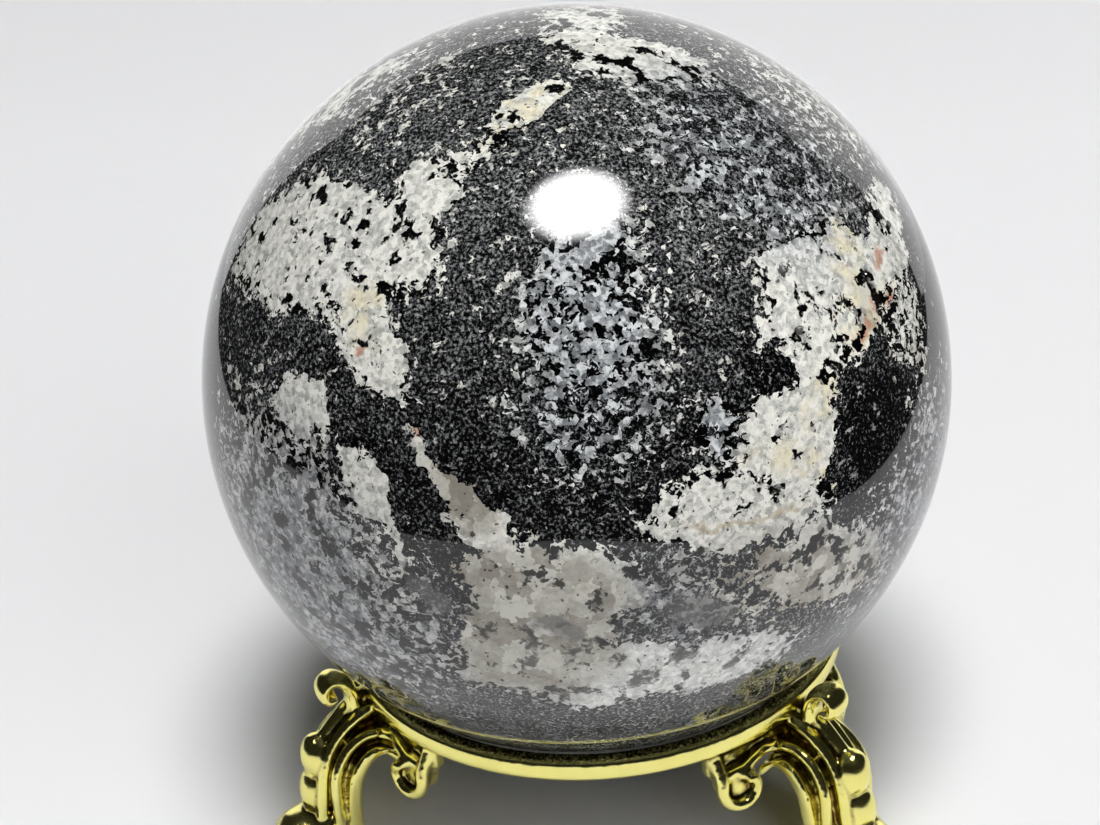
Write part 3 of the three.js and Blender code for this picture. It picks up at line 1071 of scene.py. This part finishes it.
def add_ring(mesh):
    reach = BALL_RADIUS + SEAT_CLEARANCE
    seat_top = math.sqrt(reach ** 2 - (BALL_CENTRE.z - RING_TOP) ** 2)
    section = [
        (RING_BORE_RADIUS, RING_FOOT),
        (RING_FOOT_RADIUS, RING_FOOT),
        (RING_TOP_RADIUS - RING_LIP, RING_FACE_FOOT),
        (RING_TOP_RADIUS, RING_FACE_FOOT + RING_LIP),
        (RING_TOP_RADIUS + RING_FACE_BULGE, (RING_FACE_FOOT + RING_TOP) / 2),
        (RING_TOP_RADIUS, RING_TOP - RING_LIP),
        (RING_TOP_RADIUS - RING_LIP, RING_TOP),
        (seat_top, RING_TOP),
        (RING_BORE_RADIUS, RING_TOP - SEAT_DEPTH),
    ]
    rows = []
    for turn in full_turn(RING_SIDES):
        rows.append([mesh.verts.new(turned(1, radius, turn, height)) for radius, height in section])
    for i, row in enumerate(rows):
        following = rows[(i + 1) % RING_SIDES]
        for j in range(len(section)):
            k = (j + 1) % len(section)
            mesh.faces.new((row[j], row[k], following[k], following[j]))


def piece_from(mesh, name):
    """A scene object from a mesh drawn in millimetres."""
    bmesh.ops.recalc_face_normals(mesh, faces=mesh.faces)
    bmesh.ops.scale(mesh, verts=mesh.verts, vec=(MM, MM, MM))
    data = bpy.data.meshes.new(name)
    mesh.to_mesh(data)
    mesh.free()
    piece = bpy.data.objects.new(name, data)
    bpy.context.scene.collection.objects.link(piece)
    return piece


def settled(piece):
    """Applies a piece's modifiers."""
    bpy.context.view_layer.update()
    graph = bpy.context.evaluated_depsgraph_get()
    data = bpy.data.meshes.new_from_object(piece.evaluated_get(graph))
    piece.modifiers.clear()
    piece.data = data
    return piece


def make_leg():
    leg = bmesh.new()
    add_leg_body(leg)
    add_ribs(leg)
    for side in (1, -1):
        add_volute(leg, side)
        add_feed(leg, side)
        add_volute_face(leg, side)
        add_apron(leg, side)
    add_curl(leg)
    for lobe in LOBES:
        add_lobe(leg, *lobe)
    add_foot(leg)
    return leg


def make_stand():
    whole = bmesh.new()
    add_ring(whole)
    for turn in full_turn(LEG_COUNT):
        leg = make_leg()
        bmesh.ops.rotate(leg, verts=leg.verts, matrix=Matrix.Rotation(FIRST_LEG_TURN + turn, 3, "Z"))
        part = bpy.data.meshes.new("leg")
        leg.to_mesh(part)
        whole.from_mesh(part)
        leg.free()
    piece = piece_from(whole, "gold_stand")
    remesh = piece.modifiers.new("cast", "REMESH")
    remesh.mode = "VOXEL"
    remesh.voxel_size = CASTING_VOXEL * MM
    remesh.adaptivity = 0.0
    smooth = piece.modifiers.new("polish", "SMOOTH")
    smooth.factor = CASTING_SMOOTHING_SHARE
    smooth.iterations = CASTING_SMOOTHING
    settled(piece)
    piece.data.shade_smooth()
    return piece


def crack_reach(point):
    """How far a point on the ball is from the crack's middle, where 1 is the crack's edge."""
    turn, rise, length, width, tilt = CRACK
    centre, basis = patch_frame(turn, rise, tilt)
    local = basis.transposed() @ (point - BALL_CENTRE - centre)
    wobble = 1 + CRACK_WOBBLE * noise.noise(point * CRACK_WOBBLES_IN_MM)
    return math.hypot(local.x / length, local.y / width) * wobble + abs(local.z) / BALL_RADIUS


def make_ball():
    mesh = bmesh.new()
    bmesh.ops.create_icosphere(mesh, subdivisions=BALL_DETAIL, radius=BALL_RADIUS)
    bmesh.ops.translate(mesh, verts=mesh.verts, vec=BALL_CENTRE)
    turn, rise, length, _, tilt = CRACK
    crack_middle, _ = patch_frame(turn, rise, tilt)

    def near_crack(vert):
        return (vert.co - BALL_CENTRE - crack_middle).length < 2 * length

    edges = [edge for edge in mesh.edges if near_crack(edge.verts[0])]
    bmesh.ops.subdivide_edges(mesh, edges=edges, cuts=CRACK_CUTS, use_grid_fill=True)
    for vert in mesh.verts:
        out = (vert.co - BALL_CENTRE).normalized()
        vert.co = BALL_CENTRE + out * BALL_RADIUS
        if near_crack(vert):
            vert.co -= out * (CRACK_DEPTH * max(0.0, 1 - crack_reach(vert.co) ** 2))
    piece = piece_from(mesh, "stone_ball")
    piece.data.shade_smooth()
    return piece


# The studio: a plain pale floor under one large soft lamp

FLOOR_REACH = 3000.0
FLOOR_COLOUR = (0.80, 0.80, 0.81)
CARD_ROUGHNESS = 0.9
CARD_SPECULAR = 0.1
BLACK = (0.0, 0.0, 0.0)
WHITE = (1.0, 1.0, 1.0)

# The lamp hangs above the ball and a little in front of it, and its light fades towards an oval edge
LAMP_DISTANCE = 2000.0
LAMP_TO = Vector((0.11, -0.19, 0.98))
LAMP_RADIANCE = 28.0
LAMP_HALF_SIZE = (430.0, 345.0)
LAMP_SOFTNESS = 0.28
LAMP_SIDES = 48

# A fill light from the front right, which reflections don't show, and the room's faint even light
FILL_SIZE = 3000.0
FILL_PLACE = Vector((2600.0, -2500.0, 1900.0))
FILL_POWER = 56.0
ROOM_LIGHT = 0.015

# Polished surfaces also reflect a dark floor outside this edge, and a bright card that stands at the back.
# The edge runs from the back left round the front to the back right.
PALE_EDGE = [
    (-265, 300, 0),
    (-238, 57, 0),
    (-230, -65, 0),
    (-201, -103, 0),
    (-109, -134, 0),
    (23, -179, 0),
    (101, -79, 0),
    (129, 8, 0),
    (156, 105, 0),
    (205, 300, 0),
]
PALE_EDGE_STEPS = 60
BACK_CARD_PLACE = 220.0
BACK_CARD_TOP = 212.0
BACK_CARD_GLOW = 1.0
# The dark floor ends this many times further from the axis than it starts
DARK_FLOOR_REACH = 40.0
DARK_FLOOR_LIFT = 0.4
DARK_FLOOR_COLOUR = (0.02, 0.02, 0.021)


def stage_card(name, corners, faces, colour, glow=None):
    """A flat part of the studio, which shines white where a glow is given."""
    data = bpy.data.meshes.new(name)
    data.from_pydata([Vector(corner) * MM for corner in corners], [], faces)
    card = bpy.data.objects.new(name, data)
    bpy.context.scene.collection.objects.link(card)
    material, _, shader = new_material(name)
    shader.inputs["Base Color"].default_value = opaque(colour)
    shader.inputs["Roughness"].default_value = CARD_ROUGHNESS
    shader.inputs["Specular IOR Level"].default_value = CARD_SPECULAR
    if glow is not None:
        shader.inputs["Emission Color"].default_value = opaque(WHITE)
        shader.inputs["Emission Strength"].default_value = glow
    data.materials.append(material)
    return card


def only_reflected(card):
    """Keeps a part of the studio out of sight except in polished surfaces."""
    card.visible_camera = False
    card.visible_diffuse = False
    card.visible_shadow = False


def make_floor():
    reach = FLOOR_REACH
    corners = [(-reach, -reach, 0), (reach, -reach, 0), (reach, reach, 0), (-reach, reach, 0)]
    stage_card("floor", corners, [(0, 1, 2, 3)], FLOOR_COLOUR)


def make_reflected_cards():
    line = SmoothLine(PALE_EDGE)
    lift = Vector((0, 0, DARK_FLOOR_LIFT))
    edge = [line.point(i / PALE_EDGE_STEPS) + lift for i in range(PALE_EDGE_STEPS + 1)]
    far = [Vector((p.x * DARK_FLOOR_REACH, p.y * DARK_FLOOR_REACH, p.z)) for p in edge]
    count = len(edge)
    faces = [(i, i + 1, count + i + 1, count + i) for i in range(count - 1)]
    only_reflected(stage_card("dark_floor", edge + far, faces, DARK_FLOOR_COLOUR))

    left, right = PALE_EDGE[0][0], PALE_EDGE[-1][0]
    corners = [(left, 0), (right, 0), (right, BACK_CARD_TOP), (left, BACK_CARD_TOP)]
    upright = [(x, BACK_CARD_PLACE, height) for x, height in corners]
    only_reflected(stage_card("back_card", upright, [(0, 1, 2, 3)], BLACK, BACK_CARD_GLOW))


def make_lamp(patch):
    to_lamp = LAMP_TO.normalized()
    centre = BALL_CENTRE + to_lamp * LAMP_DISTANCE
    across = Vector((0, 0, 1)).cross(to_lamp).normalized()
    upward = to_lamp.cross(across)
    width, height = LAMP_HALF_SIZE
    reach = 1 + LAMP_SOFTNESS
    panel = [
        centre + across * (reach * width * math.cos(angle)) + upward * (reach * height * math.sin(angle))
        for angle in full_turn(LAMP_SIDES)
    ]
    lamp = stage_card("lamp_panel", panel, [tuple(range(LAMP_SIDES))], BLACK, LAMP_RADIANCE)
    lamp.visible_camera = False
    tree = lamp.data.materials[0].node_tree
    values = {
        "Place": place_in_mm(tree),
        "Centre": centre,
        "Turn": Matrix((across, upward, to_lamp)).transposed().to_euler(),
        "Size": (width, height, LAMP_DISTANCE),
        "Softness": LAMP_SOFTNESS,
    }
    mask = placed_group(tree, patch, "Mask", **values)
    strength = times(tree, mask, LAMP_RADIANCE)
    tree.links.new(strength, tree.nodes["Principled BSDF"].inputs["Emission Strength"])


def make_fill():
    data = bpy.data.lights.new("fill", "AREA")
    data.shape = "SQUARE"
    data.size = FILL_SIZE * MM
    data.energy = FILL_POWER
    fill = bpy.data.objects.new("fill", data)
    bpy.context.scene.collection.objects.link(fill)
    fill.location = FILL_PLACE * MM
    fill.rotation_euler = fill.location.to_track_quat("Z", "Y").to_euler()
    fill.visible_glossy = False


def make_room():
    world = bpy.data.worlds.new("room")
    world.use_nodes = True
    world.node_tree.nodes["Background"].inputs["Color"].default_value = opaque((ROOM_LIGHT,) * 3)
    bpy.context.scene.world = world
    bpy.context.scene.view_settings.view_transform = "Standard"


mineral_patch = patch_group()
polish_ripple = ripple_group()

make_floor()
make_reflected_cards()
make_lamp(mineral_patch)
make_fill()
make_room()

ball = make_ball()
ball.data.materials.append(stone_material(mineral_patch, polish_ripple))
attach(ball, "root")
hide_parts("stone_sphere")

stand = make_stand()
stand.data.materials.clear()
stand.data.materials.append(gold_material(polish_ripple))
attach(stand, "root")
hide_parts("stand")
